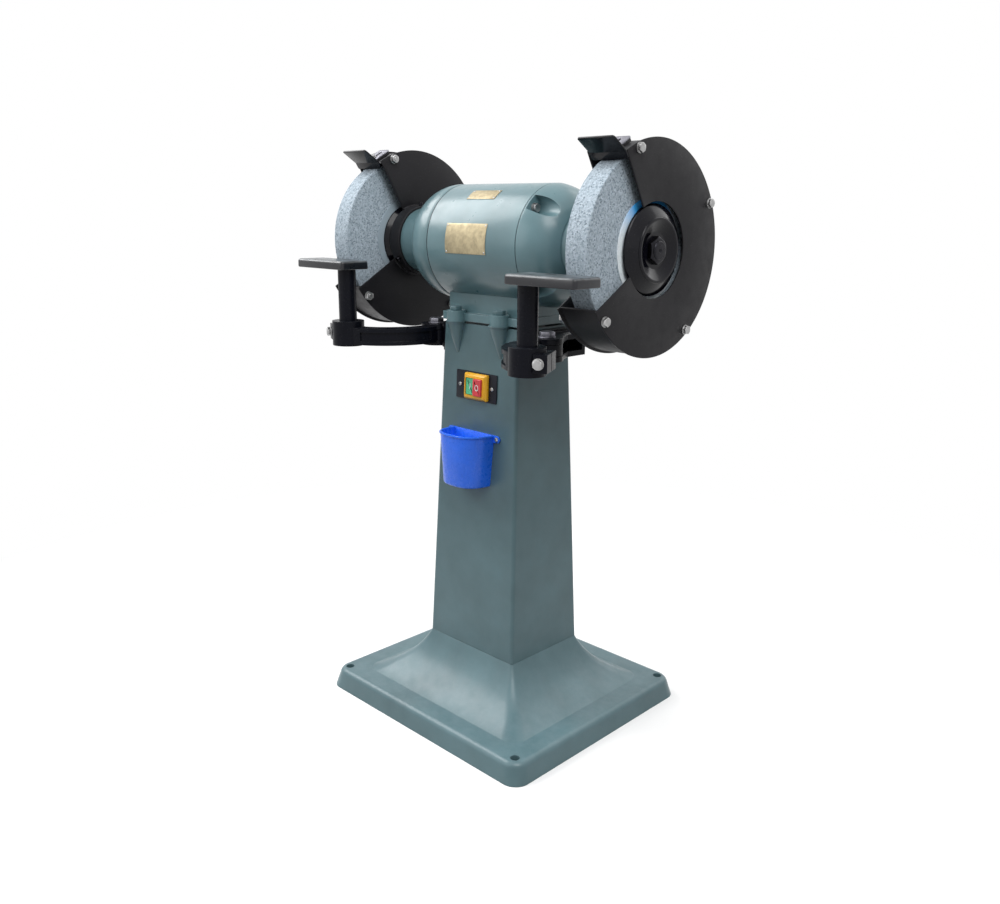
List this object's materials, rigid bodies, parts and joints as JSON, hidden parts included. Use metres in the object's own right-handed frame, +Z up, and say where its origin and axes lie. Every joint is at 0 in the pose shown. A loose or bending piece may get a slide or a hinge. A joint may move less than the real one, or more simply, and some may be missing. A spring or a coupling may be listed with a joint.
{
  "type": "pedestal bench grinder",
  "caption": "Electric grinder on a cast pedestal: guarded wheel at each spindle end, adjustable work rests and spark visors, push-button switch and hanging water cup.",
  "frame": {"origin": "on the floor under the middle of the spindle, which is the middle of the pedestal's base", "axes": "+Z up, +X along the spindle towards the right-hand wheel as the operator sees it from -Y, -Y towards the operator, where the rests, switch and cup are"},
  "size_m": [0.6766, 0.4624, 1.0338],
  "materials": {
    "grey_enamel": "semi-gloss",
    "black_satin": "satin",
    "black_gloss": "gloss",
    "zinc_steel": "bright zinc",
    "machined_steel": "machined",
    "core_steel": "laminated",
    "copper": "varnished",
    "bearing_steel": "polished",
    "abrasive": "matte, grainy",
    "blotter_paper": "matte",
    "brass_plate": "satin",
    "black_plastic": "matte",
    "yellow_plastic": "gloss",
    "green_plastic": "gloss",
    "red_plastic": "gloss",
    "blue_plastic": "satin"
  },
  "bodies": {
    "machine": {"base": "grey_enamel", "column": "grey_enamel", "column_bolts": "zinc_steel", "foot_bolts": "zinc_steel", "motor_housing": "grey_enamel", "right_end_bell": "grey_enamel", "left_end_bell": "grey_enamel", "bell_bolts": "zinc_steel", "stator_core": "core_steel", "stator_windings": "copper", "bearing_outer_rings": "bearing_steel", "guard_hub_screws": "zinc_steel", "visor_screws": "zinc_steel", "bracket_bolts": "zinc_steel", "pivot_bolts": "zinc_steel", "switch_plate": "black_plastic", "switch_housing": "yellow_plastic", "switch_screws": "zinc_steel", "cup_screws": "zinc_steel", "blank_plates": "brass_plate", "cable_gland": "black_plastic", "left_guard_shell": "black_satin", "left_guard_cover": "black_satin", "left_guard_bolts": "zinc_steel", "left_rest_bracket": "black_satin", "right_guard_shell": "black_satin", "right_guard_cover": "black_satin", "right_guard_bolts": "zinc_steel", "right_rest_bracket": "black_satin"},
    "spindle_set": {"spindle": "machined_steel", "rotor_core": "core_steel", "bearing_inner_rings": "bearing_steel", "wheel_blotters": "blotter_paper", "left_inner_flange": "black_gloss", "left_wheel": "abrasive", "left_outer_flange": "black_gloss", "left_spindle_nut": "zinc_steel", "right_inner_flange": "black_gloss", "right_wheel": "abrasive", "right_outer_flange": "black_gloss", "right_spindle_nut": "zinc_steel"},
    "right_arm_set": {"right_rest_arm": "black_satin", "right_clamp_bolt": "zinc_steel"},
    "right_post": {"right_rest_post": "black_gloss"},
    "right_table": {"right_rest_table": "black_gloss"},
    "right_visor_leaf": {"right_visor": "black_gloss"},
    "left_arm_set": {"left_rest_arm": "black_satin", "left_clamp_bolt": "zinc_steel"},
    "left_post": {"left_rest_post": "black_gloss"},
    "left_table": {"left_rest_table": "black_gloss"},
    "left_visor_leaf": {"left_visor": "black_gloss"},
    "start_key": {"start_button": "green_plastic"},
    "stop_key": {"stop_button": "red_plastic"},
    "cup": {"water_cup": "blue_plastic"}
  },
  "joints": [
    {"name": "spindle_spin", "type": "hinge", "parent": "machine", "child": "spindle_set", "pos_m": [0, 0, 0.8646], "axis": [1, 0, 0], "continuous": true},
    {"name": "right_arm_swing", "type": "hinge", "parent": "machine", "child": "right_arm_set", "pos_m": [0.138, -0.044, 0.698], "axis": [0, 0, 1], "range_deg": [-20, 0]},
    {"name": "right_post_slide", "type": "slide", "parent": "right_arm_set", "child": "right_post", "axis": [0, 0, 1], "range_m": [-0.06, 0.02]},
    {"name": "right_table_turn", "type": "hinge", "parent": "right_post", "child": "right_table", "pos_m": [0.223, -0.184, 0.82], "axis": [0, 0, 1], "range_deg": [-90, 0]},
    {"name": "right_visor_slide", "type": "slide", "parent": "machine", "child": "right_visor_leaf", "axis": [0, -0.866, -0.5], "range_m": [0, 0.02]},
    {"name": "left_arm_swing", "type": "hinge", "parent": "machine", "child": "left_arm_set", "pos_m": [-0.138, -0.044, 0.698], "axis": [0, 0, 1], "range_deg": [0, 20]},
    {"name": "left_post_slide", "type": "slide", "parent": "left_arm_set", "child": "left_post", "axis": [0, 0, 1], "range_m": [-0.06, 0.02]},
    {"name": "left_table_turn", "type": "hinge", "parent": "left_post", "child": "left_table", "pos_m": [-0.223, -0.184, 0.82], "axis": [0, 0, 1], "range_deg": [0, 90]},
    {"name": "left_visor_slide", "type": "slide", "parent": "machine", "child": "left_visor_leaf", "axis": [0, -0.866, -0.5], "range_m": [0, 0.02]},
    {"name": "start_press", "type": "slide", "parent": "machine", "child": "start_key", "axis": [0, 0.9992, -0.0398], "range_m": [0, 0.003], "stiffness_N_per_m": 600, "springref_m": -0.001},
    {"name": "stop_press", "type": "slide", "parent": "machine", "child": "stop_key", "axis": [0, 0.9992, -0.0398], "range_m": [0, 0.003], "stiffness_N_per_m": 600, "springref_m": -0.001},
    {"name": "cup_lift", "type": "slide", "parent": "machine", "child": "cup", "axis": [0, 0.0398, 0.9992], "range_m": [0, 0.05]}
  ]
}
